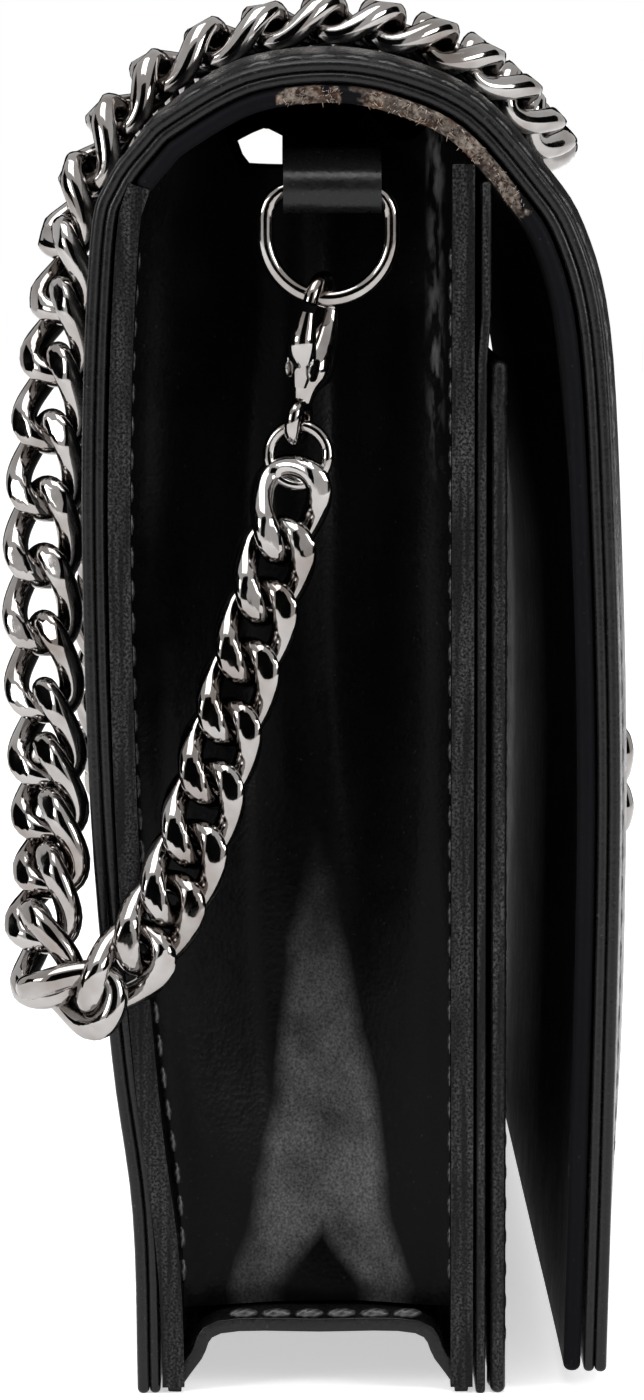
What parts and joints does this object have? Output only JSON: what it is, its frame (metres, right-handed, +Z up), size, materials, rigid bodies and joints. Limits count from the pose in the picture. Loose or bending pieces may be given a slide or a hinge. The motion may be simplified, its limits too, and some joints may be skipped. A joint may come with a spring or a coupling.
{
  "type": "wallet on chain",
  "caption": "Small box-shaped leather flap bag with folded ends, a zip pocket inside and a curb chain clipped to a D-ring at each end.",
  "frame": {"origin": "middle of the box round the whole object, on the table under it", "axes": "+Z up, -Y towards the flap's front, -X towards the pictured end"},
  "size_m": [0.2408, 0.0714, 0.1451],
  "materials": {
    "black_leather": "smooth semi-gloss black calf",
    "lining_leather": "matte navy-black fine grain",
    "lining_textile": "black twill",
    "gunmetal": "polished dark gunmetal"
  },
  "bodies": {
    "bag": {"back_panel": "black_leather", "base_panel": "black_leather", "near_gusset": "black_leather", "far_gusset": "black_leather", "front_panel": "black_leather", "front_pocket": "black_leather", "lining": "lining_textile", "card_slot_low": "lining_leather", "card_slot_mid": "lining_leather", "card_slot_top": "lining_leather", "divider_back_wall": "lining_leather", "divider_front_wall": "lining_leather", "zip_tape_back": "lining_textile", "zip_tape_front": "lining_textile", "snap_stud": "gunmetal", "near_tab": "black_leather", "near_chain_corner": "gunmetal", "near_chain_back": "gunmetal", "near_chain_bend": "gunmetal", "far_tab": "black_leather", "far_chain_corner": "gunmetal", "far_chain_back": "gunmetal", "far_chain_bend": "gunmetal"},
    "flap": {"flap": "black_leather", "flap_lining": "lining_leather", "snap_socket": "gunmetal", "flap_ornament": "gunmetal", "top_chain": "gunmetal"},
    "near_ring": {"near_ring": "gunmetal"},
    "near_clasp": {"near_clasp": "gunmetal", "near_clasp_pin": "gunmetal", "near_jump_ring": "gunmetal", "near_chain_link_1": "gunmetal", "near_chain_link_2": "gunmetal", "near_chain_link_3": "gunmetal", "near_chain_link_4": "gunmetal", "near_chain_link_5": "gunmetal", "near_chain_link_6": "gunmetal", "near_chain_link_7": "gunmetal"},
    "near_lever": {"near_lever": "gunmetal"},
    "far_ring": {"far_ring": "gunmetal"},
    "far_clasp": {"far_clasp": "gunmetal", "far_clasp_pin": "gunmetal", "far_jump_ring": "gunmetal", "far_chain_link_1": "gunmetal", "far_chain_link_2": "gunmetal", "far_chain_link_3": "gunmetal", "far_chain_link_4": "gunmetal", "far_chain_link_5": "gunmetal", "far_chain_link_6": "gunmetal", "far_chain_link_7": "gunmetal"},
    "far_lever": {"far_lever": "gunmetal"},
    "zip_slider": {"zip_slider": "gunmetal"},
    "zip_pull": {"zip_pull": "gunmetal"}
  },
  "joints": [
    {"name": "flap_hinge", "type": "hinge", "parent": "bag", "child": "flap", "pos_m": [0, 0.02468, 0.12558], "axis": [-1, 0, 0], "range_deg": [0, 120], "deforming": ["near_chain_bend", "far_chain_bend"]},
    {"name": "near_ring_swing", "type": "hinge", "parent": "bag", "child": "near_ring", "pos_m": [-0.1093, 0.00192, 0.12489], "axis": [0, 1, 0], "range_deg": [0, 16]},
    {"name": "near_clasp_swing", "type": "hinge", "parent": "near_ring", "child": "near_clasp", "pos_m": [-0.1093, 0.00271, 0.11359], "axis": [0, 1, 0], "range_deg": [-19.5, 0]},
    {"name": "near_lever_press", "type": "hinge", "parent": "near_clasp", "child": "near_lever", "pos_m": [-0.11133, 0.00472, 0.10648], "axis": [0.342, 0.9254, 0.1632], "range_deg": [0, 25], "stiffness_Nm_per_rad": 0.02},
    {"name": "far_ring_swing", "type": "hinge", "parent": "bag", "child": "far_ring", "pos_m": [0.1093, 0.00192, 0.12489], "axis": [0, -1, 0], "range_deg": [0, 16]},
    {"name": "far_clasp_swing", "type": "hinge", "parent": "far_ring", "child": "far_clasp", "pos_m": [0.1093, 0.00271, 0.11359], "axis": [0, -1, 0], "range_deg": [-19.5, 0]},
    {"name": "far_lever_press", "type": "hinge", "parent": "far_clasp", "child": "far_lever", "pos_m": [0.11133, 0.00326, 0.10622], "axis": [-0.342, -0.9254, -0.1632], "range_deg": [0, 25], "stiffness_Nm_per_rad": 0.02},
    {"name": "zip_slide", "type": "slide", "parent": "bag", "child": "zip_slider", "axis": [1, 0, 0], "range_m": [0, 0.133]},
    {"name": "zip_pull_lift", "type": "hinge", "parent": "zip_slider", "child": "zip_pull", "pos_m": [-0.0657, 0.00291, 0.12658], "axis": [0, -1, 0], "range_deg": [0, 20]}
  ],
  "couplings": [
    {"joint": "near_clasp_swing", "follows": "near_ring_swing", "ratio": -1.2},
    {"joint": "far_clasp_swing", "follows": "far_ring_swing", "ratio": -1.2}
  ]
}
